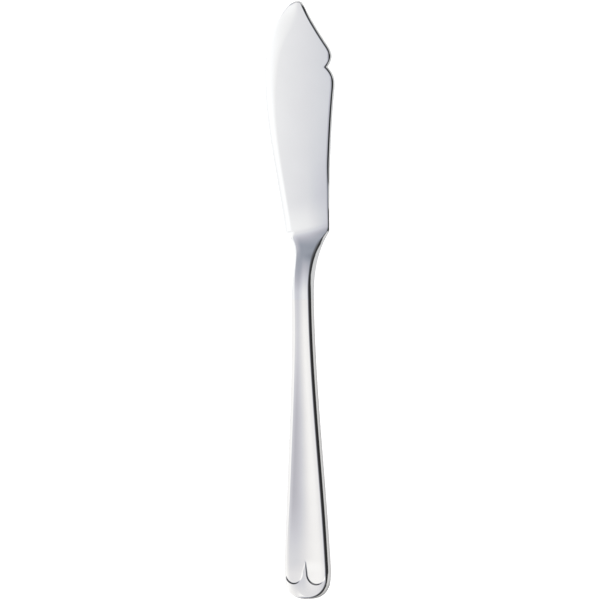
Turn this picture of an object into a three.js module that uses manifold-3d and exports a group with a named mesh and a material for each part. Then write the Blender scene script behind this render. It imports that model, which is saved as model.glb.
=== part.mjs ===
// A butter knife with a hollow handle, in millimetres.
// It lies on its back with the front face up: +Y points to the tip, +X to the blade's back, +Z up.
// While the pieces are shaped, the handle's axis is x = 0, its mouth y = 0 and its middle plane z = 0.

import * as THREE from 'three';
import { mergeVertices } from 'three/addons/utils/BufferGeometryUtils.js';
import Module from 'manifold-3d';

const wasm = await Module();
wasm.setup();

// Handle
const handleLength = 85;
const handleWidth = 13.1;
const handleThickness = 5;
const mouthWidth = 6.2;
const endDepth = 8.3; // from the round end to the widest place
const endFlat = 0.5; // straight stretch in the middle of the round end
const endSquareness = 2.6; // 2 is an ellipse, more is squarer
const handleLean = 0.037; // how fast the outline draws in after the widest place
const sideRound = 1.15; // how far the rounded sides reach in from the outline
const faceDish = 0.12; // hollow of the front face, in the middle of its width
const levelReach = 12; // from the round end, the front face is level up to here
const shellWall = 0.9;

// Raised end panel: two scallops with a spike between them, measured from the round end
const panelRise = 0.2;
const panelSet = 1.5; // how far the panel's rim lies inside the handle's outline
const spikeReach = 10.2;
const spikeTipWidth = 0.3;
const spikeFoot = 0.25; // half the width that the spike's flanks open to at its foot
const scallopReach = 4.25; // deepest place of a scallop
const scallopOffset = 3.2; // from the axis to that place
const scallopRimReach = 6; // where a scallop runs out to the panel's rim

// Neck, from the brazed mouth to the blade's heel
const neckLength = 19.4;
const mouthToWaist = 13; // to the narrowest place on the edge side
const waistReach = 1.85; // from the axis to the outline there
const heelLean = 0.9; // how fast the edge side opens to the heel
const mouthLean = 0.05; // how fast the back side opens at the mouth
const shoulderLean = 0.6; // and at the shoulder
const shoulderBefore = 0.4; // the shoulder's round corner starts this far before the heel
const shoulderAfter = 0.8; // and ends this far after it
const shoulderDrawIn = 0.2; // it starts this far inside the back

// Blade, along the axis
const heelToRise = 37.4; // almost straight stretch of the back
const riseToCrest = 4.8;
const crestToNotch = 4.4;
const notchToLobe = 3.1;
const lobeToClip = 3.1;
const clipToTip = 12.6;
const heelToBelly = 43.4; // to the widest place on the edge side
const tipRoundDepth = 1.2; // length of the round tip

// Blade, across from the handle's axis
const heelEdgeReach = 4.45;
const bellyReach = 9.55;
const heelBackReach = 8;
const riseReach = 9.9;
const crestReach = 10.3;
const notchReach = 8.3;
const lobeReach = 9.6;
const clipReach = 8.4;
const tipOffset = 0.3; // the tip lies this far to the back side of the axis
const tipFlat = 0.8; // straight stretch across the tip
const tipRoundEdge = 2.55; // half width of the round tip on the edge side
const tipRoundBack = 1.15; // and on the back side

// How fast the blade's outline leans out, per millimetre along the axis
const edgeLean = 0.125;
const bellyTipLean = -0.85;
const backLean = 0.01;
const riseLean = 0.1;
const notchLeanIn = -0.95;
const notchLeanOut = 0.85;
const clipLean = -0.65;
const clipTipLean = -0.5;

// Blade section
const bladeThickness = 1.3;
const bladeCrown = 0.1; // swell of each face in the middle of its width
const edgeThickness = 0.4;
const edgeBevel = 2.7; // width of the rounded bevel on the edge side
const backThickness = 0.7; // flat of the back, between its rounded corners
const backRound = 0.4;
const tipBevel = 0.6; // length over which the faces round down at the tip
const bevelShare = 0.6; // most of a narrow section's width that the edge's bevel takes
const roundShare = 0.3; // and a rounded side

// Ramp from the blade's faces up to the handle's faces
const rampHollow = 4.6; // concave stretch, from the heel towards the handle
const rampStraight = 2.5;
const rampCrown = 13.5; // convex stretch, into the handle's faces

// Joints
const brazeGap = 0.2; // thickness of the brazed seams
const spigotLength = 4;
const spigotFit = 0.3; // clearance of the spigot in the mouth
const spigotRound = 0.4;
const tangLength = 48;
const tangStep = 0.7; // step from the spigot in to the tang, all round
const tangTaper = 0.25; // how far each side of the tang leans in by its end
const tangRound = 0.3;
const bedGap = 0.3; // clearance of the set cement to metal

// Fineness of the surfaces
const roundSteps = 3;
const faceSteps = 4;
const curveSteps = 6;
const endSteps = 9;
const handleSteps = [1, 8]; // from the widest place to the level one, and on to the mouth
const bladeSteps = [13, 9, 2, 4, 4, 3, 5]; // neck, back, rise, crest, notch, lobe and clip
const tipSteps = 4;
const leastRound = 0.2;
const mergeTolerance = 1e-4;
const cutMargin = 1; // how far cutting bodies pass the surfaces that they cut

// Places along the axis
const neckY = brazeGap;
const heelY = neckY + neckLength;
const riseY = heelY + heelToRise;
const crestY = riseY + riseToCrest;
const notchY = crestY + crestToNotch;
const lobeY = notchY + notchToLobe;
const clipY = lobeY + lobeToClip;
const tipY = clipY + clipToTip;
const tipRoundY = tipY - tipRoundDepth;
const endY = -handleLength;
const levelY = endY + levelReach;
const spigotEndY = -spigotLength;
const tangEndY = spigotEndY - tangLength;

const handleHalf = handleThickness / 2;
const bladeHalf = bladeThickness / 2;
const seamHalf = brazeGap / 2;
const { lerp, smoothstep, clamp } = THREE.MathUtils;

const steel = new THREE.MeshStandardMaterial({ color: 0xd6d6da, metalness: 1, roughness: 0.16 });
const braze = new THREE.MeshStandardMaterial({ color: 0xcfc8b8, metalness: 1, roughness: 0.35 });
const cement = new THREE.MeshStandardMaterial({ color: 0x8b867d, metalness: 0, roughness: 0.95 });

// Even places from one end to the other, both included
function spread(from, to, steps) {
  return Array.from({ length: steps + 1 }, (_, i) => lerp(from, to, i / steps));
}

// The same along a chain of places, with a number of steps for each stretch
function chain(places, steps) {
  return steps.flatMap((count, i) => spread(places[i], places[i + 1], count).slice(1));
}

// Quarter round from 0 to 1, level at its far end
function dome(share) {
  const rest = 1 - clamp(share, 0, 1);
  return Math.sqrt(1 - rest * rest);
}

// Places crowded towards the start, as a quarter round needs them
function domeSpread(from, to, steps) {
  return spread(0, Math.PI / 2, steps).map((angle) => lerp(from, to, 1 - Math.cos(angle)));
}

// A place on an outline: along the axis, out from it, and how fast the outline leans out before and after
function knot(y, reach, lean, leanAfter = lean) {
  return { y, reach, lean, leanAfter };
}

// Smooth outline through such places, read at any y
function outline(knots) {
  return (y) => {
    const found = knots.findIndex((place) => place.y >= y);
    const last = found < 0 ? knots.length - 1 : Math.max(found, 1);
    const a = knots[last - 1];
    const b = knots[last];
    const span = b.y - a.y;
    const t = (y - a.y) / span;
    const rest = 1 - t;
    const ease = t * t * (3 - 2 * t);
    return lerp(a.reach, b.reach, ease) + span * t * rest * (a.leanAfter * rest - b.lean * t);
  };
}

// Half width of the handle, or of a body that lies inside it by an inset
function handleReach(inset) {
  const widest = handleWidth / 2 - inset;
  const depth = endDepth - inset;
  const taper = outline([
    knot(endY + endDepth, widest, -handleLean),
    knot(0, mouthWidth / 2 - inset, 0),
  ]);
  return (y) => {
    const fromEnd = Math.max(y - endY - inset, 0);
    if (fromEnd >= depth) return taper(Math.min(y, 0));
    const round = (1 - (1 - fromEnd / depth) ** endSquareness) ** (1 / endSquareness);
    return lerp(endFlat / 2, widest, round);
  };
}

// Outlines of the neck and blade on the edge side and on the back side, without the round tip
const edgeReach = outline([
  knot(neckY, mouthWidth / 2, 0),
  knot(neckY + mouthToWaist, waistReach, 0),
  knot(heelY, heelEdgeReach, heelLean, edgeLean),
  knot(heelY + heelToBelly, bellyReach, 0),
  knot(tipRoundY, tipFlat / 2 + tipRoundEdge - tipOffset, bellyTipLean),
]);
const backReach = outline([
  knot(neckY, mouthWidth / 2, mouthLean),
  knot(heelY - shoulderBefore, heelBackReach - shoulderDrawIn, shoulderLean),
  knot(heelY + shoulderAfter, heelBackReach, backLean),
  knot(riseY, riseReach, riseLean),
  knot(crestY, crestReach, 0),
  knot(notchY, notchReach, notchLeanIn, notchLeanOut),
  knot(lobeY, lobeReach, 0),
  knot(clipY, clipReach, clipLean),
  knot(tipRoundY, tipFlat / 2 + tipRoundBack + tipOffset, clipTipLean),
]);

// Height of the faces above the middle plane: blade, ramp, handle
function faceHalf(y) {
  const rise = handleHalf - bladeHalf;
  const steepest = rise / (rampHollow / 2 + rampStraight + rampCrown / 2);
  const climbed = Math.max(heelY - y, 0);
  if (climbed < rampHollow) return bladeHalf + (steepest * climbed ** 2) / (2 * rampHollow);
  const past = climbed - rampHollow;
  if (past < rampStraight) return bladeHalf + steepest * (rampHollow / 2 + past);
  const left = Math.max(rampStraight + rampCrown - past, 0);
  return handleHalf - (steepest * left ** 2) / (2 * rampCrown);
}

// Closed ring of points across the knife: the front from left to right, then the rear back again
function ring(y, section) {
  const { left, right, half, leftRound, rightRound, leftEdge, rightEdge } = section;
  const face = (swell) => [
    ...spread(0, Math.PI / 2, roundSteps).map((angle) => [
      left + leftRound * (1 - Math.cos(angle)),
      lerp(leftEdge, half, Math.sin(angle)),
    ]),
    ...spread(-1, 1, faceSteps).slice(1, -1).map((place) => [
      lerp(left + leftRound, right - rightRound, (place + 1) / 2),
      half + swell * (1 - place * place),
    ]),
    ...spread(Math.PI / 2, 0, roundSteps).map((angle) => [
      right - rightRound * (1 - Math.cos(angle)),
      lerp(rightEdge, half, Math.sin(angle)),
    ]),
  ];
  const front = face(section.frontSwell).map(([x, z]) => [x, y, z]);
  const rear = face(section.rearSwell).map(([x, z]) => [x, y, -z]);
  return [...front, ...rear.reverse()];
}

// Section that is alike on both sides of the axis
function evenSection(reach, half, round, edge, frontSwell) {
  return {
    left: -reach,
    right: reach,
    half,
    leftRound: round,
    rightRound: round,
    leftEdge: edge,
    rightEdge: edge,
    frontSwell,
    rearSwell: 0,
  };
}

// Section of the handle, of its hollow, or of a body inside that
function handleSection(y, inset) {
  const round = Math.max(sideRound - inset, leastRound);
  const rounding = dome((y - endY - inset) / round);
  const half = lerp(seamHalf, faceHalf(y) - inset, rounding);
  const reach = handleReach(inset)(y);
  const dish = inset > 0 ? 0 : faceDish * smoothstep(y, levelY, levelY + levelReach);
  return evenSection(reach, half, Math.min(round, roundShare * 2 * reach), seamHalf, -dish);
}

// Section of the neck and blade
function bladeSection(y) {
  const blade = smoothstep(y, heelY - rampHollow, heelY);
  const fromTip = tipY - y;
  const inTip = fromTip < tipRoundDepth;
  const tipShare = Math.sqrt(Math.max(fromTip, 0) / tipRoundDepth);
  const left = inTip ? tipFlat / 2 + tipRoundEdge * tipShare - tipOffset : edgeReach(y);
  const right = inTip ? tipFlat / 2 + tipRoundBack * tipShare + tipOffset : backReach(y);
  const half = lerp(edgeThickness / 2, faceHalf(y), dome(fromTip / tipBevel));
  return {
    left: -left,
    right,
    half,
    leftRound: Math.min(lerp(sideRound, edgeBevel, blade), bevelShare * (left + right)),
    rightRound: Math.min(lerp(sideRound, backRound, blade), roundShare * (left + right)),
    leftEdge: Math.min(lerp(seamHalf, edgeThickness / 2, blade), half),
    rightEdge: Math.min(lerp(seamHalf, backThickness / 2, blade), half),
    frontSwell: lerp(-faceDish, bladeCrown, blade) * dome(fromTip / tipBevel),
    rearSwell: lerp(0, bladeCrown, blade) * dome(fromTip / tipBevel),
  };
}

// Closed body through rings that follow each other along +Y
function loft(rings) {
  const count = rings[0].length;
  const middle = (points) => [0, 1, 2].map((axis) => points.reduce((sum, p) => sum + p[axis], 0) / count);
  const positions = [...rings.flat(), middle(rings[0]), middle(rings.at(-1))].flat();
  const firstCap = rings.length * count;
  const lastRing = (rings.length - 1) * count;
  const index = [];
  for (let j = 0; j < count; j += 1) {
    const next = (j + 1) % count;
    for (let start = 0; start < lastRing; start += count) {
      index.push(start + j, start + next, start + count + next);
      index.push(start + j, start + count + next, start + count + j);
    }
    index.push(firstCap, next, j);
    index.push(firstCap + 1, lastRing + j, lastRing + next);
  }
  const geometry = new THREE.BufferGeometry();
  geometry.setAttribute('position', new THREE.Float32BufferAttribute(positions, 3));
  geometry.setIndex(index);
  return geometry;
}

// Geometry to a solid that can be cut and joined, and back
function solid(geometry) {
  const bare = geometry.clone();
  bare.deleteAttribute('normal');
  bare.deleteAttribute('uv');
  const merged = mergeVertices(bare, mergeTolerance);
  const vertProperties = merged.attributes.position.array;
  const triVerts = new Uint32Array(merged.index.array);
  return new wasm.Manifold(new wasm.Mesh({ numProp: 3, vertProperties, triVerts }));
}

function surface(body) {
  const { vertProperties, triVerts } = body.getMesh();
  const geometry = new THREE.BufferGeometry();
  geometry.setAttribute('position', new THREE.BufferAttribute(vertProperties, 3));
  geometry.setIndex(new THREE.BufferAttribute(triVerts, 1));
  return geometry;
}

// Level slab that covers the whole handle between two heights
function slab(low, high) {
  const width = handleWidth + 2 * cutMargin;
  const length = handleLength + 2 * cutMargin;
  const box = new THREE.BoxGeometry(width, length, high - low);
  return solid(box.translate(0, endY / 2, (low + high) / 2));
}

// Handle outline as a body, set in where an inset is given, from its round end to a place near the mouth
function handleBody(inset, toY) {
  const widestY = endY + endDepth;
  const along = [
    ...domeSpread(endY + inset, widestY, endSteps),
    ...chain([widestY, levelY, Math.min(toY, 0)], handleSteps),
  ];
  const rings = along.map((y) => ring(y, handleSection(y, inset)));
  if (toY > 0) rings.push(ring(toY, handleSection(0, inset)));
  return solid(loft(rings));
}

// Raised end panel: a plate bedded in the front wall, between the scalloped line and the round end
function endPanel() {
  const reach = handleReach(panelSet);
  const sides = domeSpread(endY + panelSet, endY + scallopRimReach, endSteps);
  const rim = reach(sides.at(-1));
  const foot = (scallopOffset + rim) / 2;
  const scallopY = endY + scallopReach;
  const spikeY = endY + spikeReach;
  const shape = new THREE.Shape()
    .setFromPoints([
      ...sides.map((y) => new THREE.Vector2(-reach(y), y)).reverse(),
      ...sides.map((y) => new THREE.Vector2(reach(y), y)),
    ])
    .quadraticCurveTo(foot, scallopY, scallopOffset, scallopY)
    .quadraticCurveTo(spikeFoot, scallopY, spikeTipWidth / 2, spikeY)
    .lineTo(-spikeTipWidth / 2, spikeY)
    .quadraticCurveTo(-spikeFoot, scallopY, -scallopOffset, scallopY)
    .quadraticCurveTo(-foot, scallopY, -rim, sides.at(-1));
  const bedded = shellWall / 2;
  const options = { depth: bedded + panelRise, bevelEnabled: false, curveSegments: curveSteps };
  return solid(new THREE.ExtrudeGeometry(shape, options).translate(0, 0, handleHalf - bedded));
}

// Spigot and tang, from the tang's end up to the neck's shoulder, grown by a gap where one is given
function tangRings(grow) {
  const spigotReach = mouthWidth / 2 - shellWall - spigotFit;
  const spigotHalf = faceHalf(0) - shellWall - spigotFit;
  const plain = (y, draw, round) => {
    const half = spigotHalf - draw + grow;
    return ring(y, evenSection(spigotReach - draw + grow, half, round, half - round, 0));
  };
  return {
    tang: [
      plain(tangEndY - grow, tangStep + tangTaper, tangRound),
      plain(spigotEndY, tangStep, tangRound),
    ],
    spigot: [plain(spigotEndY, 0, spigotRound), plain(neckY, 0, spigotRound)],
  };
}

// Pieces
function makeBlade() {
  const { tang, spigot } = tangRings(0);
  const along = [
    neckY,
    ...chain([neckY, heelY, riseY, crestY, notchY, lobeY, clipY, tipRoundY], bladeSteps),
    ...domeSpread(tipY, tipRoundY, tipSteps).reverse().slice(1),
  ];
  const outer = along.map((y) => ring(y, bladeSection(y)));
  return loft([...tang, ...spigot, ...outer]);
}

function makeFrontShell(body, hollow) {
  const upper = slab(seamHalf, handleHalf + cutMargin);
  return surface(body.intersect(upper).subtract(hollow).add(endPanel()));
}

function makeRearShell(body, hollow) {
  return surface(body.intersect(slab(-handleHalf - cutMargin, -seamHalf)).subtract(hollow));
}

function makeSeamBraze(body, hollow) {
  return surface(body.intersect(slab(-seamHalf, seamHalf)).subtract(hollow));
}

function makeMouthBraze(hollow) {
  const mouth = handleSection(0, 0);
  return surface(solid(loft([ring(0, mouth), ring(neckY, mouth)])).subtract(hollow));
}

function makeCement() {
  const filling = handleBody(shellWall + bedGap, spigotEndY - bedGap);
  const { tang } = tangRings(bedGap);
  return surface(filling.subtract(solid(loft(tang))));
}

const knife = new THREE.Group();

function addPiece(name, geometry, material) {
  geometry.computeVertexNormals();
  const mesh = new THREE.Mesh(geometry, material);
  mesh.name = name;
  knife.add(mesh);
}

const body = handleBody(0, 0);
const hollow = handleBody(shellWall, neckY + cutMargin);
addPiece('blade', makeBlade(), steel);
addPiece('front_handle_shell', makeFrontShell(body, hollow), steel);
addPiece('rear_handle_shell', makeRearShell(body, hollow), steel);
addPiece('seam_braze', makeSeamBraze(body, hollow), braze);
addPiece('mouth_braze', makeMouthBraze(hollow), braze);
addPiece('handle_cement', makeCement(), cement);

// The flat back rests on z = 0, and the origin is the middle of the ground that the knife covers
knife.position.set((bellyReach - crestReach) / 2, -(tipY + endY) / 2, handleHalf);

export default knife;
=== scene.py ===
"""Looks of the butter knife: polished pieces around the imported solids, a white floor and studio light."""

import math
from types import SimpleNamespace

import bmesh
import bpy
import numpy as np
from mathutils import Matrix, Vector


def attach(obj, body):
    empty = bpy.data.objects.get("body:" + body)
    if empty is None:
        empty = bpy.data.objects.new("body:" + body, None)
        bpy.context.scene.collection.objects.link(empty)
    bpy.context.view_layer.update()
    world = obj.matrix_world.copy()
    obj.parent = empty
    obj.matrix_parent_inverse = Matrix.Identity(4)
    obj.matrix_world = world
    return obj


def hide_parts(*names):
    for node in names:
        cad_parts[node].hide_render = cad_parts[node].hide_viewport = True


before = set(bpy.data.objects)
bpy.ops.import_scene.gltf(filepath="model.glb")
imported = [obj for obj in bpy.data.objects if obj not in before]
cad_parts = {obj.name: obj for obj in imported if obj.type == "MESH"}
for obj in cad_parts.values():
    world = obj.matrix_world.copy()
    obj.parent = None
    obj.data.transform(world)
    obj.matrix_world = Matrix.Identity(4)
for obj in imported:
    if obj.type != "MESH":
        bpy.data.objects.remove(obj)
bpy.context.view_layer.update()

# Sizes in millimetres, in the shaping frame: handle axis x = 0, mouth y = 0, middle plane z = 0.
# A pair of numbers says where a change starts and where it is complete.
AXIS_X = -0.375
MIDDLE_Z = 2.5
MM = 0.001

# Handle
END_Y = -85.0
HANDLE_WIDTH = 13.1
HANDLE_HALF = 2.5
MOUTH_HALF_WIDTH = 3.1
END_DEPTH = 8.3
END_START_Y = END_Y + END_DEPTH
END_FLAT = 0.5
END_SQUARENESS = 2.6
HANDLE_LEAN = 0.037
LEFT_ROUND = 1.15
RIGHT_ROUND = 1.25
LEFT_NARROWING = 0.45
LEFT_NARROWING_START = (55, 74)  # from the mouth
END_ROUND = 0.32
END_TURN = (0.03, 0.35)  # turn of the outline's normal that narrows the rims
SHELL_WALL = 0.9
HOLLOW_ROUND = 0.3
SEAM_HALF = 0.1

# Front face: where its dish turns, as shares of the half width, and its fall to the rounded sides
DISH_FROM = -0.62
DISH_TO = 0.45
DISH_LEAST_REACH = RIGHT_ROUND + 0.1
LEFT_SHOULDER = 0.128
LEFT_SHOULDER_REACH = 2.1
LEFT_SHOULDER_END = (80, 83.5)  # from the mouth
RIGHT_SHOULDER = 0.085
RIGHT_SHOULDER_REACH = 2.6

# Raised end panel: two lobes with a spike between them
ORNAMENT_X = -0.25
PANEL_HALF = 2.66
PANEL_CROWN = 0.0015
SPIKE_HALF = 2.455
SPIKE_Y = -74.6
SPIKE_SINK = (-84.8, -76)
SPIKE_SPREAD = (0, 4.5)
WALL_WIDTH = 0.45
LEFT_LOBE_X = -3.4
LEFT_LOBE_REACH = 2.5
RIGHT_LOBE_X = 3.1
RIGHT_LOBE_REACH = 2.8
LOBE_HEIGHT = 3.2
LEFT_LOBE_Y = -80.55
RIGHT_LOBE_Y = -80.95
LOBE_RISE = 0.08
LOBE_PRESS = 0.085
LOBE_SIDE = 5.6
LOBE_WALL = (-0.3, 0.1)
LOBE_START = (-1, 3)  # past the spike's point

# Fall of the front face to the round end: in its middle and at its two corners
END_FALL = 0.25
END_FALL_REACH = 0.7
END_FALL_POWER = 2
END_FALL_START = (76.5, 80.5)  # from the mouth
RIGHT_FALL = 0.4
RIGHT_FALL_REACH = 0.9
RIGHT_FALL_POWER = 1.5
RIGHT_CORNER = (0.5, 4.5)
LEFT_FALL = 0.03
LEFT_FALL_REACH = 2.2
LEFT_CORNER = (0, 3.4)
LEAST_AWAY = 1e-9

# Neck and blade, along the axis
NECK_Y = 0.2
HEEL_Y = 19.6
WAIST_Y = 13.2
RISE_Y = 57.0
CREST_Y = 61.8
NOTCH_Y = 66.2
LOBE_Y = 69.3
CLIP_Y = 72.4
BELLY_Y = 63.0
TIP_Y = 85.0
TIP_ROUND = 1.2
TIP_START_Y = TIP_Y - TIP_ROUND
BLADE_START = (HEEL_Y - 6, HEEL_Y)
EDGE_START = (HEEL_Y - 2.3, HEEL_Y - 0.3)
WALL_START = (HEEL_Y + 10, HEEL_Y + 20)
WALL_END = (TIP_Y - 5, TIP_Y - 1.5)
NECK_EDGE_START = (0, 10)
FACET_START = (0, 7)
CLIMB_FROM_Y = -1
CLIMB_TO_Y = 30
RAMP_SKEW = 0.2
RAMP_SKEW_START = (12.5, 19)

# Blade section
BLADE_HALF = 0.75
BLADE_CROWN = 0.14
CROWN_REACH = 9.5
EDGE_HALF = 0.2
EDGE_SHARE = 0.68  # most of a narrow section's width that the edge's bevel takes
EDGE_SHARE_POWER = 4
NECK_EDGE_ROUND = 0.5
BACK_SHARE = 0.3  # and that the back's corners take
BACK_FACET_LOW = 0.22  # low side of the front facet along the back
FLANK_FACET_LOW = 0.5  # and where the outline leans
FLANK_LEAN = (0.1, 0.3)
BACK_FRONT_HALF = -0.35
BACK_REAR_HALF = 0.5
BACK_WALL = 0.25
LEAST_WALL = 1e-6
BACK_FRONT_ROUND = 0.71
TIP_FRONT_ROUND = 0.46
HEEL_FRONT_ROUND = 0.27
BACK_REAR_ROUND = 0.42
LEAST_DROP = 0.06
FACET_SHARE = 0.66
FACET_SOFTNESS = 0.35
MOST_SLANT = 1.4
LEAN_STEP = 0.02
HEEL_FALL = 0.14
HEEL_FALL_X = 2
HEEL_FALL_REACH = 6
HEEL_FALL_START = (HEEL_Y - 4, HEEL_Y + 4)
HEEL_FALL_END = (HEEL_Y, HEEL_Y + 35)
TIP_BEVEL = 0.3
TIP_FLAT_HALF = 0.4
TIP_OFFSET = 0.3
TIP_EDGE = 2.55
TIP_BACK = 1.15

# Spigot and tang inside the handle
SPIGOT_END_Y = -4.0
SPIGOT_FIT = 0.3
SPIGOT_ROUND = 0.4
TANG_END_Y = -52.0
TANG_STEP = 0.7
TANG_TAPER = 0.25
TANG_ROUND = 0.3

# Fineness
ROUND_STEPS = 24
ROUND_ANGLES = np.linspace(0, math.pi / 2, ROUND_STEPS + 1)
FACE_STEPS = 120
PLAIN_FACE_STEPS = 30
INNER_STEPS = 8
SIDE_SAMPLES = 800
END_SAMPLES = 1200
FLAT_SAMPLES = 60
LOBE_SAMPLES = 90
CLIMB_SAMPLES = 621
PLAIN_SPACING = 1.0
FINE_SPACING = 0.08
FINE_FROM_Y = SPIKE_Y + 1
CAP_REACH = 1.2  # nearer to the axis than this, the round end has no whole rings
BLADE_STRETCHES = [  # up to, rings
    (HEEL_Y + 2, 110),
    (RISE_Y, 90),
    (CLIP_Y + 2, 150),
    (TIP_START_Y, 50),
]
TIP_RINGS = 40
SHARP_ANGLE = math.radians(35)
JOIN_DISTANCE = 1e-7  # metres
FLAT_DISTANCE = 1e-8  # metres


def smooth(value, low, high):
    """0 before low, 1 after high, with level ends."""
    t = np.clip((value - low) / (high - low), 0, 1)
    return t * t * (3 - 2 * t)


def blend(a, b, share):
    """From a at share 0 to b at share 1."""
    return a + (b - a) * share


def curve(knots):
    """Smooth curve through (place, value, lean before, lean after), read at any place."""
    knots = [(k[0], k[1], k[2], k[-1]) for k in knots]
    table = np.array(sorted(knots))

    def read(place):
        place = np.asarray(place, float)
        i = np.clip(np.searchsorted(table[:, 0], place, side="left"), 1, len(table) - 1)
        a, b = table[i - 1], table[i]
        span = b[..., 0] - a[..., 0]
        t = np.clip((place - a[..., 0]) / span, 0, 1)
        ease = t * t * (3 - 2 * t)
        swing = a[..., 3] * (1 - t) - b[..., 2] * t
        return a[..., 1] + (b[..., 1] - a[..., 1]) * ease + span * t * (1 - t) * swing

    return read


# Outlines: reach from the axis to the edge side and to the back side
edge_curve = curve([
    (NECK_Y, MOUTH_HALF_WIDTH, 0),
    (WAIST_Y, 1.85, 0),
    (HEEL_Y, 4.45, 0.9, 0.125),
    (BELLY_Y, 9.55, 0),
    (TIP_START_Y, TIP_FLAT_HALF + TIP_EDGE - TIP_OFFSET, -0.85),
])
back_curve = curve([
    (NECK_Y, MOUTH_HALF_WIDTH, 0),
    (HEEL_Y - 0.4, 7.8, 0.6),
    (HEEL_Y + 0.8, 8, 0.01),
    (RISE_Y, 9.9, 0.1),
    (CREST_Y, 10.3, 0),
    (NOTCH_Y, 8.3, -0.95, 0.85),
    (LOBE_Y, 9.6, 0),
    (CLIP_Y, 8.4, -0.65),
    (TIP_START_Y, TIP_FLAT_HALF + TIP_BACK + TIP_OFFSET, -0.5),
])
taper_curve = curve([
    (END_START_Y, HANDLE_WIDTH / 2, -HANDLE_LEAN),
    (0, MOUTH_HALF_WIDTH, 0),
])
# Reach of the front corner on the back side
corner_curve = curve([
    (NECK_Y, RIGHT_ROUND, 0),
    (7, 1.34, 0.03),
    (13, 1.62, 0.01),
    (15.7, 1.55, -0.05),
    (17.2, 1.35, -0.2),
    (18.3, 0.95, -0.3),
    (HEEL_Y, 0.58, -0.15),
    (HEEL_Y + 1.4, HEEL_FRONT_ROUND, 0),
    (WALL_START[0], HEEL_FRONT_ROUND, 0),
    (WALL_START[1], BACK_FRONT_ROUND, 0),
    (TIP_Y - 6, BACK_FRONT_ROUND, 0),
    (TIP_Y, TIP_FRONT_ROUND, 0),
])
# Width of the bevel on the edge side
bevel_curve = curve([
    (HEEL_Y, 1.9, 0),
    (45, 2.2, 0.02),
    (TIP_Y, 5.8, 0.1),
])
# Place of the crown's level line
crown_curve = curve([
    (HEEL_Y, 0.5, 0),
    (TIP_Y, 3, 0),
])
# Tilt of the face towards the tip, in degrees, along the neck and heel
climb_curve = curve([
    (CLIMB_FROM_Y, 0, 0),
    (12.5, 8.7, 0),
    (15.5, 8.7, 0),
    (19.4, 0, -4),
    (20.6, -2.4, 0),
    (CLIMB_TO_Y, 0, 0),
])
# Tilt of the dished face on the left and right of the axis, in degrees
left_dish = curve([
    (END_Y, 0.8, 0),
    (-80, 0.8, 0),
    (-54, 5.6, 0),
    (-36, 5.6, 0),
    (-10, 3.2, 0),
    (4.5, 4.2, 0),
    (14, 0.5, -0.2),
    (17, 0, 0),
])
right_dish = curve([
    (END_Y, 1.8, 0),
    (-80, 1.8, 0),
    (-70, 2.3, 0),
    (-28, 2.6, 0.02),
    (-14, 3.3, 0),
    (-5, 3.2, -0.06),
    (1, 2.4, 0),
    (10, 2.3, 0),
    (14, 1.1, -0.25),
    (18, 0, 0),
])

# Share of the way down from the handle's face to the blade's, along the neck and heel
CLIMB_PLACES = np.linspace(CLIMB_FROM_Y, CLIMB_TO_Y, CLIMB_SAMPLES)
CLIMB_SLOPES = np.tan(np.radians(climb_curve(CLIMB_PLACES)))
CLIMB_STEP = CLIMB_PLACES[1] - CLIMB_PLACES[0]
CLIMB_FALL = np.concatenate([[0], np.cumsum((CLIMB_SLOPES[1:] + CLIMB_SLOPES[:-1]) / 2 * CLIMB_STEP)])
CLIMB_SHARE = CLIMB_FALL / CLIMB_FALL[-1]


# Handle's shapes

def face_half(y):
    """Height of the faces above the middle plane: handle, ramp, blade."""
    return HANDLE_HALF - (HANDLE_HALF - BLADE_HALF) * np.interp(y, CLIMB_PLACES, CLIMB_SHARE)


def dish(x, y, reach):
    """Height of the dished front face, over the mean height of its two sides."""
    left = np.tan(np.radians(left_dish(y)))
    right = np.tan(np.radians(right_dish(y)))
    start, end = DISH_FROM * reach, DISH_TO * reach

    def height(at):
        t = np.clip((at - start) / (end - start), 0, 1)
        turned = (end - start) * (t ** 3 - t ** 4 / 2) + np.maximum(at - end, 0)
        return (left + right) * turned - left * at

    side = reach - RIGHT_ROUND
    return height(x) - (height(-side) + height(side)) / 2


def shoulders(from_left, from_right, left_share=1):
    """Fall of the front face towards its rounded sides."""
    left = np.clip(1 - from_left / LEFT_SHOULDER_REACH, 0, 1)
    right = np.clip(1 - from_right / RIGHT_SHOULDER_REACH, 0, 1)
    return LEFT_SHOULDER * left_share * left ** 2 + RIGHT_SHOULDER * right ** 2


def handle_reach(y):
    """Half width of the handle."""
    share = np.clip((y - END_Y) / END_DEPTH, 0, 1)
    rounded = (1 - (1 - share) ** END_SQUARENESS) ** (1 / END_SQUARENESS)
    end = blend(END_FLAT / 2, HANDLE_WIDTH / 2, rounded)
    return np.where(y < END_START_Y, end, taper_curve(y))


def handle_outline():
    """Right half of the outline, from the mouth to the middle of the round end, and its inward normals."""
    turn = np.linspace(math.pi / 2, 0, END_SAMPLES)
    side_y = np.linspace(0, END_START_Y, SIDE_SAMPLES)
    end_y = END_Y + END_DEPTH * (1 - np.cos(turn))[1:]
    y = np.concatenate([side_y, end_y])
    flat = np.linspace(END_FLAT / 2, 0, FLAT_SAMPLES)[1:]
    x = np.concatenate([handle_reach(y), flat])
    y = np.concatenate([y, np.full(len(flat), END_Y)])
    along = np.concatenate([[0], np.cumsum(np.hypot(np.diff(x), np.diff(y)))])
    change = np.interp(FINE_FROM_Y, y[::-1], along[::-1])
    plain = np.linspace(0, change, round(change / PLAIN_SPACING))
    fine = np.linspace(change, along[-1], round((along[-1] - change) / FINE_SPACING))
    places = np.concatenate([plain, fine[1:]])
    x, y = np.interp(places, along, x), np.interp(places, along, y)
    tx, ty = np.gradient(x, places), np.gradient(y, places)
    tx[0], tx[-1], ty[-1] = 0, -1, 0
    size = np.hypot(tx, ty)
    return x, y, ty / size, -tx / size


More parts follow.
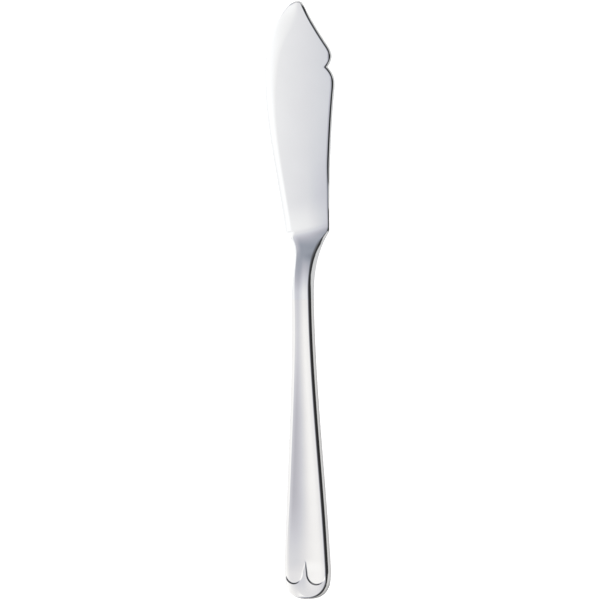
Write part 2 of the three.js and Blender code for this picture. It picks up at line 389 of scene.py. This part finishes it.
def left_narrowing(y):
    """What the left rim loses towards the end."""
    return LEFT_NARROWING * smooth(-y, *LEFT_NARROWING_START)


OUT_X, OUT_Y, IN_X, IN_Y = handle_outline()
WIDEST = int(np.argmax(OUT_X))
# Reach of the rounded sides, narrower round the end
TO_END = smooth(IN_Y, *END_TURN)[:, None]
LEFT_RIM = blend(LEFT_ROUND - left_narrowing(OUT_Y)[:, None], END_ROUND, TO_END)
RIGHT_RIM = blend(RIGHT_ROUND, END_ROUND, TO_END)


def lobe(middle, reach, low):
    """Lower half of an oval, from left to right."""
    turn = np.linspace(math.pi, 2 * math.pi, LOBE_SAMPLES)
    return np.stack([middle + reach * np.cos(turn), low + LOBE_HEIGHT * (1 + np.sin(turn))], axis=1)


def scallop_line():
    """The panel's upper edge from left to right: lobe, spike, lobe."""
    left = lobe(ORNAMENT_X + LEFT_LOBE_X, LEFT_LOBE_REACH, LEFT_LOBE_Y)
    right = lobe(ORNAMENT_X + RIGHT_LOBE_X, RIGHT_LOBE_REACH, RIGHT_LOBE_Y)
    start = [(-HANDLE_WIDTH, left[0][1])]
    end = [(HANDLE_WIDTH, right[-1][1])]
    return np.concatenate([start, left, [(ORNAMENT_X, SPIKE_Y)], right, end])


def panel_depth(x, y):
    """Signed distance to the scalloped line, more than 0 on the panel."""
    line = scallop_line()
    at_x, at_y = x.ravel(), y.ravel()
    nearest = np.full(len(at_x), np.inf)
    on_panel = np.zeros(len(at_x), bool)
    for (ax, ay), (bx, by) in zip(line[:-1], line[1:]):
        wide, high = bx - ax, by - ay
        t = np.clip(((at_x - ax) * wide + (at_y - ay) * high) / (wide ** 2 + high ** 2), 0, 1)
        gap = np.hypot(at_x - ax - t * wide, at_y - ay - t * high)
        nearest = np.minimum(nearest, gap)
        beside = (at_x >= min(ax, bx)) & (at_x < max(ax, bx))
        on_panel |= beside & (at_y < ay + (at_x - ax) * high / wide)
    return np.where(on_panel, nearest, -nearest).reshape(x.shape)


def lobe_step(x, y):
    """The left lobe tilts up to the spike and the right one down to it, so that a wall parts them."""
    across = x - ORNAMENT_X
    left = LOBE_RISE * np.clip(1 + across / LOBE_SIDE, 0, 1)
    right = -LOBE_PRESS * np.clip(1 - across / LOBE_SIDE, 0, 1)
    return blend(left, right, smooth(across, *LOBE_WALL)) * smooth(SPIKE_Y - y, *LOBE_START)


def end_fall(x, y):
    """Fall of the front face towards the round end, wider at its right corner and gentle at its left one."""
    side = np.maximum(handle_reach(np.clip(y, END_Y, 0)) - np.abs(x), 0)
    end_y = np.interp(np.abs(x), OUT_X[:WIDEST - 1:-1], OUT_Y[:WIDEST - 1:-1])
    up = np.maximum(y - end_y, 0)
    away = side * up / np.maximum(np.hypot(side, up), LEAST_AWAY)
    left, right = smooth(-x, *LEFT_CORNER), smooth(x, *RIGHT_CORNER)
    depth = END_FALL + (LEFT_FALL - END_FALL) * left + (RIGHT_FALL - END_FALL) * right
    to_left = (LEFT_FALL_REACH - END_FALL_REACH) * left
    to_right = (RIGHT_FALL_REACH - END_FALL_REACH) * right
    share = np.clip(1 - away / (END_FALL_REACH + to_left + to_right), 0, 1)
    power = blend(END_FALL_POWER, RIGHT_FALL_POWER, right)
    return depth * share ** power * smooth(-y, *END_FALL_START)


def front_height(x, y):
    """The dished front face, with the lobes and the raised panel at its end."""
    reach = np.maximum(handle_reach(np.clip(y, END_Y, 0)), DISH_LEAST_REACH)
    floor = face_half(y) + dish(x, y, reach) + lobe_step(x, y)
    spike = smooth(y, *SPIKE_SINK) * (1 - smooth(np.abs(x - ORNAMENT_X), *SPIKE_SPREAD))
    panel = blend(PANEL_HALF - PANEL_CROWN * x ** 2, SPIKE_HALF, spike)
    raised = smooth(panel_depth(x, y), -WALL_WIDTH / 2, WALL_WIDTH / 2)
    left_share = 1 - smooth(-y, *LEFT_SHOULDER_END)
    sides = shoulders(reach + x + left_narrowing(y), reach - x, left_share)
    return blend(floor, panel, raised) - sides - end_fall(x, y)


def rear_height(x, y):
    """The plain rear face."""
    return face_half(y) + 0 * x


def hollow_height(x, y):
    """The hollow inside either face."""
    return face_half(y) - SHELL_WALL + 0 * x


# Meshes

def to_frame(points):
    """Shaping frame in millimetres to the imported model's frame in metres."""
    return (np.asarray(points) + (AXIS_X, 0, MIDDLE_Z)) * MM


def make_mesh(name, points, faces):
    """New mesh object, with doubled points joined and smooth faces between sharp edges."""
    mesh = bpy.data.meshes.new(name)
    mesh.from_pydata(to_frame(points).tolist(), [], faces)
    work = bmesh.new()
    work.from_mesh(mesh)
    bmesh.ops.remove_doubles(work, verts=work.verts, dist=JOIN_DISTANCE)
    bmesh.ops.dissolve_degenerate(work, edges=work.edges, dist=FLAT_DISTANCE)
    loose = [vert for vert in work.verts if not vert.link_faces]
    bmesh.ops.delete(work, geom=loose, context="VERTS")
    bmesh.ops.recalc_face_normals(work, faces=work.faces)
    work.to_mesh(mesh)
    work.free()
    mesh.shade_smooth()
    mesh.set_sharp_from_angle(angle=SHARP_ANGLE)
    piece = bpy.data.objects.new(name, mesh)
    bpy.context.scene.collection.objects.link(piece)
    return piece


def grid_faces(rows, columns, start=0, closed=False):
    """Quads of a grid of points, row by row."""
    faces = []
    last = columns if closed else columns - 1
    for i in range(rows - 1):
        for j in range(last):
            k = (j + 1) % columns
            a, b = start + i * columns, start + (i + 1) * columns
            faces.append((a + j, a + k, b + k, b + j))
    return faces


def strip_faces(x, high, low):
    """Triangles between two rows of points that run from left to right and share their end points."""
    faces = []
    i = j = 0
    while i < len(high) - 1 or j < len(low) - 1:
        last_low = j == len(low) - 1
        if i < len(high) - 1 and (last_low or x[high[i + 1]] <= x[low[j + 1]]):
            corners = (high[i], high[i + 1], low[j])
            i += 1
        else:
            corners = (high[i], low[j + 1], low[j])
            j += 1
        if len(set(corners)) == 3:
            faces.append(corners)
    return faces


def cap_faces(start, count):
    """Strip of faces that closes a ring, from its top to its bottom."""
    far = start + count - 1
    return [(start + j, start + j + 1, far - j - 1, far - j) for j in range(count // 2 - 1)]


def shell_grid(inset, left_round, right_round, face_steps, height):
    """Half of the handle or of its hollow: rings from the mouth to the end, each from left to right."""
    near = 1 - np.cos(ROUND_ANGLES)
    left_draw = inset + left_round * near
    right_draw = inset + right_round * near
    left_x = -OUT_X[:, None] - IN_X[:, None] * left_draw
    left_y = OUT_Y[:, None] + IN_Y[:, None] * left_draw
    right_x = OUT_X[:, None] + IN_X[:, None] * right_draw
    right_y = OUT_Y[:, None] + IN_Y[:, None] * right_draw
    across = np.linspace(0, 1, face_steps + 1)[1:-1]
    face_x = left_x[:, -1:] + (right_x - left_x)[:, -1:] * across
    face_y = left_y[:, -1:] + (right_y - left_y)[:, -1:] * across
    x = np.concatenate([left_x, face_x, right_x[:, ::-1]], axis=1)
    y = np.concatenate([left_y, face_y, right_y[:, ::-1]], axis=1)
    rim = np.sin(ROUND_ANGLES)
    lift = np.concatenate([rim, np.ones(len(across)), rim[::-1]])
    z = blend(SEAM_HALF, height(x, y), lift)
    return np.stack([x, y, z], axis=-1)


def shell_faces(grid, start, x):
    """Whole rings up to the end's flat, then only their rims, with a strip of the face between them."""
    rows, wide = grid.shape[:2]
    whole = int(np.flatnonzero(OUT_X >= CAP_REACH)[-1])
    right_rim = wide - 1 - ROUND_STEPS
    faces = grid_faces(whole + 1, wide, start)
    for i in range(whole, rows - 1):
        for j in (*range(ROUND_STEPS), *range(right_rim, wide - 1)):
            a = start + i * wide + j
            faces.append((a, a + 1, a + wide + 1, a + wide))
    high = [start + whole * wide + j for j in range(ROUND_STEPS, right_rim + 1)]
    low = [start + i * wide + ROUND_STEPS for i in range(whole, rows)]
    low += [start + i * wide + right_rim for i in range(rows - 2, whole - 1, -1)]
    return faces + strip_faces(x, high, low)


def share_across(ring):
    """How far across a ring each of its points lies, from 0 at the left to 1 at the right."""
    return (ring[:, 0] - ring[0, 0]) / (ring[-1, 0] - ring[0, 0])


def half_shell(name, height, face_steps, side):
    """Closed half shell: outer face, hollow, and the rims at the seam and the mouth."""
    outer = shell_grid(0, LEFT_RIM, RIGHT_RIM, face_steps, height)
    inner = shell_grid(SHELL_WALL, HOLLOW_ROUND, HOLLOW_ROUND, INNER_STEPS, hollow_height)
    rows, wide, narrow = outer.shape[0], outer.shape[1], inner.shape[1]
    points = np.concatenate([outer.reshape(-1, 3), inner.reshape(-1, 3)]) * (1, 1, side)
    base = rows * wide
    faces = shell_faces(outer, 0, points[:, 0]) + shell_faces(inner, base, points[:, 0])
    for i in range(rows - 1):
        for j, k in ((0, 0), (wide - 1, narrow - 1)):
            a, b = i * wide + j, (i + 1) * wide + j
            c, d = base + (i + 1) * narrow + k, base + i * narrow + k
            faces.append((a, b, c, d))
    match = np.interp(share_across(outer[0]), share_across(inner[0]), np.arange(narrow))
    match = base + np.rint(match).astype(int)
    for j in range(wide - 1):
        faces.append((j, j + 1, *range(match[j + 1], match[j] - 1, -1)))
    return make_mesh(name, points, faces)


def seam_ring():
    """Brazed edge seam between the half shells, round the handle's outline."""
    x = np.concatenate([-OUT_X, OUT_X[-2::-1]])
    y = np.concatenate([OUT_Y, OUT_Y[-2::-1]])
    nx = np.concatenate([-IN_X, IN_X[-2::-1]])
    ny = np.concatenate([IN_Y, IN_Y[-2::-1]])
    corners = []
    for draw, z in ((0, -SEAM_HALF), (0, SEAM_HALF), (SHELL_WALL, SEAM_HALF), (SHELL_WALL, -SEAM_HALF)):
        corners.append(np.stack([x + nx * draw, y + ny * draw, np.full(len(x), z)], axis=1))
    points = np.stack(corners, axis=1)
    rows, sides = points.shape[:2]
    faces = grid_faces(rows, sides, closed=True)
    faces += cap_faces(0, sides) + cap_faces((rows - 1) * sides, sides)
    return make_mesh("seam_line", points.reshape(-1, 3), faces)


def make_mouth_seam():
    """Brazed ring between the handle's mouth and the neck."""
    steps = PLAIN_FACE_STEPS
    front = shell_grid(0, LEFT_RIM, RIGHT_RIM, steps, front_height)[0]
    rear = shell_grid(0, LEFT_RIM, RIGHT_RIM, steps, rear_height)[0] * (1, 1, -1)
    inner = shell_grid(SHELL_WALL, HOLLOW_ROUND, HOLLOW_ROUND, steps, hollow_height)[0]
    outside = np.concatenate([front, rear[::-1]])
    inside = np.concatenate([inner, (inner * (1, 1, -1))[::-1]])
    far = (0, NECK_Y, 0)
    rings = np.stack([outside, outside + far, inside + far, inside])
    rows, count = rings.shape[:2]
    last = (rows - 1) * count
    faces = grid_faces(rows, count, closed=True)
    for j in range(count):
        k = (j + 1) % count
        faces.append((j, k, last + k, last + j))
    return make_mesh("mouth_seam", rings.reshape(-1, 3), faces)


# Blade's shapes

def blade_outlines(y):
    """Reach of the edge side and of the back side, with the round tip."""
    tip = np.sqrt(np.clip((TIP_Y - y) / TIP_ROUND, 0, 1))
    in_tip = y > TIP_START_Y
    left = np.where(in_tip, TIP_FLAT_HALF + TIP_EDGE * tip - TIP_OFFSET, edge_curve(y))
    right = np.where(in_tip, TIP_FLAT_HALF + TIP_BACK * tip + TIP_OFFSET, back_curve(y))
    return left, right


def outline_lean(outline, y):
    """How fast an outline leans out along the axis."""
    return (outline(y + LEAN_STEP) - outline(y - LEAN_STEP)) / (2 * LEAN_STEP)


def slant(lean):
    """How much wider a rounding is across the axis where its outline leans."""
    return np.minimum(np.hypot(1, lean), MOST_SLANT)


def bevel(share):
    """Drop of a quarter round: 1 at the outline, 0 from its full width on."""
    rest = 1 - np.clip(share, 0, 1)
    return 1 - np.sqrt(1 - rest ** 2)


def facet(share):
    """Drop of a straight facet with a soft inner corner: 1 at the outline, 0 from its full width on."""
    def soft(rest):
        return rest + np.hypot(rest, FACET_SOFTNESS)

    far = soft(1 - 1 / FACET_SHARE)
    return (soft(1 - np.clip(share, 0, 1) / FACET_SHARE) - far) / (soft(1.0) - far)


def blade_sections(y):
    """Sizes of the neck's and the blade's section at each place, as columns."""
    left, right = blade_outlines(y)
    width = left + right
    slant_left = slant(outline_lean(edge_curve, y))
    lean_right = outline_lean(back_curve, y)
    slant_right = slant(lean_right)
    blade = smooth(y, *BLADE_START)
    neck_round = blend(LEFT_ROUND, NECK_EDGE_ROUND, smooth(y, *NECK_EDGE_START))
    edge_round = blend(neck_round, bevel_curve(y), smooth(y, *EDGE_START)) * slant_left
    most = (EDGE_SHARE * width) ** -EDGE_SHARE_POWER
    rear_round = blend(RIGHT_ROUND, BACK_REAR_ROUND, blade)
    walled = smooth(y, *WALL_START) * (1 - smooth(y, *WALL_END))
    facet_low = blend(BACK_FACET_LOW, FLANK_FACET_LOW, smooth(np.abs(lean_right), *FLANK_LEAN))
    sizes = {
        "y": y,
        "left": left,
        "right": right,
        "left_round": (edge_round ** -EDGE_SHARE_POWER + most) ** (-1 / EDGE_SHARE_POWER),
        "right_round": np.minimum(corner_curve(y) * slant_right, BACK_SHARE * width),
        "rear_round": np.minimum(rear_round * slant_right, BACK_SHARE * width),
        "left_edge": blend(SEAM_HALF, EDGE_HALF, blade),
        "front_low": blend(SEAM_HALF, facet_low, walled),
        "front_edge": blend(SEAM_HALF, BACK_FRONT_HALF, walled),
        "rear_edge": blend(SEAM_HALF, BACK_REAR_HALF, blade),
        "wall": BACK_WALL * walled,
        "blade": blade,
        "tip": 1 - bevel((TIP_Y - y) / TIP_BEVEL),
    }
    return SimpleNamespace(**{name: value[:, None] for name, value in sizes.items()})


def places_across(at):
    """Places of the rings' points across the axis, closer together in the roundings."""
    near = 1 - np.cos(ROUND_ANGLES)
    across = np.linspace(0, 1, PLAIN_FACE_STEPS + 1)[1:-1]
    span = at.left + at.right - at.left_round - at.right_round
    left = -at.left + at.left_round * near
    face = -at.left + at.left_round + span * across
    right = at.right - at.right_round * near[::-1]
    return np.concatenate([left, face, right], axis=1)


def blade_face(at, x, extra, right_edge, to_right):
    """Height of a face: bevel on the edge side, corner on the back side, and fall to the tip."""
    half = face_half(at.y - RAMP_SKEW * x * smooth(at.y, *RAMP_SKEW_START)) + extra
    to_left = bevel((x + at.left) / at.left_round)
    drop = np.maximum(half - right_edge, LEAST_DROP)
    z = half - (half - at.left_edge) * to_left - drop * to_right
    low = np.minimum(at.left_edge, right_edge)
    return low + (z - low) * at.tip


def blade_front(at, x, crown):
    """Front face: dished at the neck, low at the heel's corner, with a facet and a wall along the back."""
    fall = HEEL_FALL * np.clip((x - HEEL_FALL_X) / HEEL_FALL_REACH, 0, 1) ** 2
    fall = fall * smooth(at.y, *HEEL_FALL_START) * (1 - smooth(at.y, *HEEL_FALL_END))
    reach = np.maximum(np.minimum(at.left, at.right), DISH_LEAST_REACH) + 0 * x
    hollow = dish(x, at.y, reach) - shoulders(x + at.left, at.right - x)
    from_wall = (at.right - x - at.wall) / (at.right_round - at.wall)
    corner = blend(bevel(from_wall), facet(from_wall), smooth(at.y, *FACET_START))
    face = blade_face(at, x, crown - fall + hollow * (1 - at.blade), at.front_low, corner)
    on_wall = np.clip(1 - (at.right - x) / np.maximum(at.wall, LEAST_WALL), 0, 1)
    return face - (at.front_low - at.front_edge) * on_wall


def blade_rings(y):
    """Rings of the neck and blade, along the front from left to right and back along the rear."""
    at = blade_sections(y)
    x = places_across(at)
    crown = -BLADE_CROWN * ((x - crown_curve(at.y)) / CROWN_REACH) ** 2 * at.blade
    top = blade_front(at, x, crown)
    bottom = blade_face(at, x, crown, at.rear_edge, bevel((at.right - x) / at.rear_round))
    y = at.y + 0 * x
    front = np.stack([x, y, top], axis=-1)
    rear = np.stack([x, y, -bottom], axis=-1)
    return np.concatenate([front, rear[:, ::-1]], axis=1)


def plain_ring(y, reach, half, rounding, count):
    """Rounded rectangle with a given number of points in the rings' order."""
    per_face = count // 2
    near = rounding * (1 - np.cos(ROUND_ANGLES))
    middle = np.linspace(-1, 1, per_face - 2 * len(near) + 2)[1:-1] * (reach - rounding)
    x = np.concatenate([-reach + near, middle, reach - near[::-1]])
    rim = np.sin(ROUND_ANGLES)
    lift = np.concatenate([rim, np.ones(len(middle)), rim[::-1]])
    z = half - rounding + rounding * lift
    top = np.stack([x, np.full(per_face, y), z], axis=1)
    return np.concatenate([top, (top * (1, 1, -1))[::-1]])


def make_blade():
    """Blade, neck, spigot and tang as one closed body."""
    y = [[NECK_Y]]
    for end, count in BLADE_STRETCHES:
        y.append(np.linspace(y[-1][-1], end, count)[1:])
    y.append(TIP_Y - TIP_ROUND * (1 - np.sin(np.linspace(0, math.pi / 2, TIP_RINGS)))[1:])
    outer = blade_rings(np.concatenate(y))
    count = outer.shape[1]
    spigot_reach = MOUTH_HALF_WIDTH - SHELL_WALL - SPIGOT_FIT
    spigot_half = float(face_half(0)) - SHELL_WALL - SPIGOT_FIT
    inner = [
        plain_ring(place, spigot_reach - draw, spigot_half - draw, rounding, count)
        for place, draw, rounding in (
            (TANG_END_Y, TANG_STEP + TANG_TAPER, TANG_ROUND),
            (SPIGOT_END_Y, TANG_STEP, TANG_ROUND),
            (SPIGOT_END_Y, 0, SPIGOT_ROUND),
            (NECK_Y, 0, SPIGOT_ROUND),
        )
    ]
    rings = np.concatenate([np.array(inner), outer])
    rows = len(rings)
    faces = grid_faces(rows, count, closed=True)
    faces += cap_faces(0, count) + cap_faces((rows - 1) * count, count)
    return make_mesh("polished_blade", rings.reshape(-1, 3), faces)


# Materials
POLISH_SCALE = (2600, 90, 2600)  # lines per metre across, along and through the knife
GLOSS_NOISE = (0.1, 0.45)  # noise with the least and the most roughness
DARK_NOISE = 0.3
LIGHT_NOISE = 0.7


def node(tree, kind, inputs=(), **settings):
    """New node with its settings, and inputs that are values or other nodes' outputs."""
    made = tree.nodes.new(kind)
    for key, value in settings.items():
        setattr(made, key, value)
    for key, value in dict(inputs).items():
        if isinstance(value, bpy.types.NodeSocket):
            tree.links.new(value, made.inputs[key])
        else:
            made.inputs[key].default_value = value
    return made


def ramp(tree, factor, stops):
    """Colour ramp with (place, colour) stops."""
    made = node(tree, "ShaderNodeValToRGB", {"Fac": factor})
    points = made.color_ramp.elements
    while len(points) < len(stops):
        points.new(0.5)
    for point, (place, colour) in zip(points, stops):
        point.position = place
        point.color = (*colour, 1)
    return made.outputs["Color"]


def math_node(tree, operation, a, b):
    """Result of an operation on two values."""
    return node(tree, "ShaderNodeMath", {0: a, 1: b}, operation=operation).outputs[0]


def map_range(tree, value, low, high, to_low=0.0, to_high=1.0, kind="LINEAR"):
    """Value spread from one range to another."""
    made = node(tree, "ShaderNodeMapRange", {
        "Value": value,
        "From Min": low,
        "From Max": high,
        "To Min": to_low,
        "To Max": to_high,
    }, interpolation_type=kind)
    return made.outputs["Result"]


def noise(tree, where, scale, detail, roughness):
    """Value of a noise texture."""
    made = node(tree, "ShaderNodeTexNoise", {
        "Vector": where,
        "Scale": scale,
        "Detail": detail,
        "Roughness": roughness,
    })
    return made.outputs["Fac"]


def add_bump(tree, shader, height, strength, distance):
    """Fine relief, with its distance in metres."""
    bump = node(tree, "ShaderNodeBump", {
        "Strength": strength,
        "Distance": distance,
        "Height": height,
    })
    tree.links.new(bump.outputs["Normal"], shader.inputs["Normal"])


def new_material(name):
    """Material with its node tree and its shader."""
    made = bpy.data.materials.new(name)
    made.use_nodes = True
    tree = made.node_tree
    return made, tree, tree.nodes["Principled BSDF"]


def metal_material(name, light, dark, roughness):
    """Polished metal with fine polishing lines along the knife, faint smears and uneven gloss."""
    made, tree, shader = new_material(name)
    where = node(tree, "ShaderNodeTexCoord").outputs["Object"]
    stretched = node(tree, "ShaderNodeMapping", {"Vector": where, "Scale": POLISH_SCALE})
    lines = noise(tree, stretched.outputs["Vector"], scale=1, detail=3, roughness=0.55)
    smears = noise(tree, where, scale=130, detail=4, roughness=0.6)
    colour = ramp(tree, smears, [(DARK_NOISE, dark), (LIGHT_NOISE, light)])
    tree.links.new(colour, shader.inputs["Base Color"])
    uneven = math_node(tree, "MULTIPLY", lines, smears)
    gloss = map_range(tree, uneven, *GLOSS_NOISE, *roughness)
    tree.links.new(gloss, shader.inputs["Roughness"])
    add_bump(tree, shader, lines, strength=0.6, distance=3e-7)
    shader.inputs["Metallic"].default_value = 1
    return made


def cement_material():
    """Set cement: matt grey with grains and pores."""
    made, tree, shader = new_material("set_cement")
    where = node(tree, "ShaderNodeTexCoord").outputs["Object"]
    grains = noise(tree, where, scale=900, detail=5, roughness=0.65)
    dark, light = (0.2, 0.19, 0.17), (0.34, 0.32, 0.28)
    colour = ramp(tree, grains, [(DARK_NOISE, dark), (LIGHT_NOISE, light)])
    tree.links.new(colour, shader.inputs["Base Color"])
    add_bump(tree, shader, grains, strength=0.5, distance=4e-5)
    shader.inputs["Roughness"].default_value = 0.95
    return made


def dress(piece, nodes, material):
    """Give a piece its material, attach it to the root body, and hide the nodes that it replaces."""
    piece.data.materials.clear()
    piece.data.materials.append(material)
    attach(piece, "root")
    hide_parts(*nodes)


blade_metal = metal_material("blade_steel", (0.93, 0.938, 0.945), (0.91, 0.918, 0.926), (0.05, 0.1))
handle_metal = metal_material("handle_steel", (0.945, 0.938, 0.93), (0.925, 0.918, 0.91), (0.05, 0.1))
braze_metal = metal_material("braze_alloy", (0.93, 0.928, 0.92), (0.905, 0.9, 0.89), (0.06, 0.12))
front_shell = half_shell("polished_front_shell", front_height, FACE_STEPS, 1)
rear_shell = half_shell("polished_rear_shell", rear_height, PLAIN_FACE_STEPS, -1)
dress(make_blade(), ["blade"], blade_metal)
dress(front_shell, ["front_handle_shell"], handle_metal)
dress(rear_shell, ["rear_handle_shell"], handle_metal)
dress(seam_ring(), ["seam_braze"], braze_metal)
dress(make_mouth_seam(), ["mouth_braze"], braze_metal)

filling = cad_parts["handle_cement"]
filling.data.materials.clear()
filling.data.materials.append(cement_material())

# Studio. Directions point from the knife: x to the right, y to the tip, z up.
STUDIO_STRENGTH = 1.075
# Shift of the light along x, by y, as a share of the range in TURN_SHIFT
TURN_STOPS = [
    (-1, 0.5),
    (-0.85, 0.42),
    (-0.4, 0.3),
    (-0.2, 0.15),
    (-0.1, 0.1),
    (0, 0.15),
    (0.035, 0.15),
    (0.3, 0.3),
    (0.7, 0.8),
    (1, 0.95),
]
TURN_SHIFT = (-0.3, 1.7)
# Light from white on the left to dark on the right, by x with that shift
LEFT_PLACE = -1.1
RIGHT_PLACE = 0.9
SIDE_STOPS = [
    (LEFT_PLACE, (0.88, 0.88, 0.88)),
    (-0.7, (0.96, 0.96, 0.96)),
    (-0.45, (1.05, 1.05, 1.05)),
    (-0.334, (1.0, 1.0, 1.0)),
    (-0.25, (0.885, 0.88, 0.875)),
    (-0.165, (0.73, 0.726, 0.745)),
    (-0.13, (0.665, 0.672, 0.7)),
    (-0.096, (0.617, 0.62, 0.665)),
    (-0.005, (0.492, 0.488, 0.535)),
    (0.135, (0.3, 0.322, 0.372)),
    (0.3, (0.165, 0.172, 0.19)),
    (0.5, (0.095, 0.096, 0.1)),
    (0.7, (0.048, 0.048, 0.05)),
    (RIGHT_PLACE, (0.026, 0.026, 0.027)),
]
# Plain greys under that light, by x
LOW_STOPS = [
    (-0.6, 0.92),
    (-0.35, 0.7),
    (-0.2, 0.3),
    (0, 0.3),
    (0.25, 0.46),
    (0.6, 0.62),
]
# Height that they reach up to, by y over x, before the soft edge is taken off
RISE_STOPS = [
    (-1, 1),
    (-0.58, 1),
    (-0.5, 0.94),
    (-0.45, 0.87),
    (-0.36, 0.76),
    (-0.26, 0.66),
    (-0.18, 0.45),
    (-0.12, 0.2),
    (-0.07, 0),
    (0.65, 0),
    (0.85, 1),
    (1, 1),
]
RISE_EDGE = (-0.42, -0.5)
LEAST_RIGHT = 0.05  # least x in y over x


def grey_ramp(tree, value, stops):
    """Ramp of greys over values from -1 to 1."""
    greys = [((1 + place) / 2, (grey, grey, grey)) for place, grey in stops]
    return ramp(tree, map_range(tree, value, -1, 1), greys)


def mix_colours(tree, factor, a, b):
    """Mix of a colour output with another one or with a plain colour."""
    made = node(tree, "ShaderNodeMix", {"Factor": factor}, data_type="RGBA")
    a_socket, b_socket = (socket for socket in made.inputs if socket.type == "RGBA")
    tree.links.new(a, a_socket)
    if isinstance(b, bpy.types.NodeSocket):
        tree.links.new(b, b_socket)
    else:
        b_socket.default_value = (*b, 1)
    return next(socket for socket in made.outputs if socket.type == "RGBA")


def make_world():
    """Soft light for the metal to mirror, white on the left and dark on the right; the camera sees white."""
    world = bpy.data.worlds.new("studio")
    bpy.context.scene.world = world
    world.use_nodes = True
    tree = world.node_tree
    way = node(tree, "ShaderNodeTexCoord").outputs["Generated"]
    x, y, z = node(tree, "ShaderNodeSeparateXYZ", {"Vector": way}).outputs
    shift = map_range(tree, grey_ramp(tree, y, TURN_STOPS), 0, 1, *TURN_SHIFT)
    place = map_range(tree, math_node(tree, "ADD", x, shift), LEFT_PLACE, RIGHT_PLACE)
    span = RIGHT_PLACE - LEFT_PLACE
    upper = ramp(tree, place, [((at - LEFT_PLACE) / span, colour) for at, colour in SIDE_STOPS])
    lower = grey_ramp(tree, x, LOW_STOPS)
    turn = math_node(tree, "DIVIDE", y, math_node(tree, "MAXIMUM", x, LEAST_RIGHT))
    over = math_node(tree, "SUBTRACT", z, grey_ramp(tree, turn, RISE_STOPS))
    below = map_range(tree, over, *RISE_EDGE, kind="SMOOTHSTEP")
    mirrored = mix_colours(tree, below, upper, lower)
    seen = node(tree, "ShaderNodeLightPath").outputs["Is Camera Ray"]
    back = tree.nodes["Background"]
    tree.links.new(mix_colours(tree, seen, mirrored, (1, 1, 1)), back.inputs["Color"])
    back.inputs["Strength"].default_value = STUDIO_STRENGTH


# Floor, in metres
FLOOR_SIZE = 8
FLOOR_DROP = 2e-5
FLOOR_GLOW = 0.25


def floor_material():
    """Matt white that glows a little."""
    made, _, shader = new_material("floor_white")
    shader.inputs["Base Color"].default_value = (0.9, 0.9, 0.9, 1)
    shader.inputs["Roughness"].default_value = 0.9
    shader.inputs["Specular IOR Level"].default_value = 0.1
    shader.inputs["Emission Color"].default_value = (1, 1, 1, 1)
    shader.inputs["Emission Strength"].default_value = FLOOR_GLOW
    return made


def make_stage():
    """White floor, which the metal doesn't mirror."""
    bpy.ops.mesh.primitive_plane_add(size=FLOOR_SIZE, location=(0, 0, -FLOOR_DROP))
    floor = bpy.context.object
    floor.name = "floor"
    floor.data.materials.append(floor_material())
    floor.visible_glossy = False


CAMERA_LEAN = math.radians(9.5)
CAMERA_ROLL = math.radians(1.1)
CAMERA_DISTANCE = 4.0  # metres
CAMERA_CLIP = 20  # metres
SENSOR_WIDTH = 36
FRAME_PIXELS = 600
PIXELS_PER_MM = 3.5147
ORIGIN_PIXEL = (303.95, 300.1)


def make_camera():
    """Camera at the photo's angle: almost from above, leaning to the right, with a long lens."""
    back = Vector((math.sin(CAMERA_LEAN), 0, math.cos(CAMERA_LEAN)))
    level = Vector((math.cos(CAMERA_LEAN), 0, -math.sin(CAMERA_LEAN)))
    along = Vector((0, 1, 0))
    right = level * math.cos(CAMERA_ROLL) - along * math.sin(CAMERA_ROLL)
    up = level * math.sin(CAMERA_ROLL) + along * math.cos(CAMERA_ROLL)
    middle = FRAME_PIXELS / 2
    aim = Vector((0, 0, MIDDLE_Z * MM))
    aim += right * ((middle - ORIGIN_PIXEL[0]) / PIXELS_PER_MM * MM)
    aim -= up * ((middle - ORIGIN_PIXEL[1]) / PIXELS_PER_MM * MM)
    data = bpy.data.cameras.new("camera")
    camera = bpy.data.objects.new("camera", data)
    bpy.context.scene.collection.objects.link(camera)
    turn = Matrix((right, up, back)).transposed()
    camera.matrix_world = Matrix.Translation(aim + back * CAMERA_DISTANCE) @ turn.to_4x4()
    data.sensor_width = SENSOR_WIDTH
    data.lens = SENSOR_WIDTH * CAMERA_DISTANCE / (FRAME_PIXELS / PIXELS_PER_MM * MM)
    data.clip_end = CAMERA_CLIP
    bpy.context.scene.camera = camera
    return back


LAMP_ENERGY = 2.8
LAMP_SPREAD = math.radians(15)


def make_lamp(back):
    """Soft lamp from the camera's side, so that the shadow falls behind. The metal doesn't mirror it."""
    data = bpy.data.lights.new("floor_lamp", "SUN")
    data.energy = LAMP_ENERGY
    data.angle = LAMP_SPREAD
    lamp = bpy.data.objects.new("floor_lamp", data)
    bpy.context.scene.collection.objects.link(lamp)
    lamp.rotation_mode = "QUATERNION"
    lamp.rotation_quaternion = (-back).to_track_quat("-Z", "Y")
    lamp.visible_glossy = False


make_world()
make_stage()
make_lamp(make_camera())
bpy.context.scene.view_settings.view_transform = "Standard"
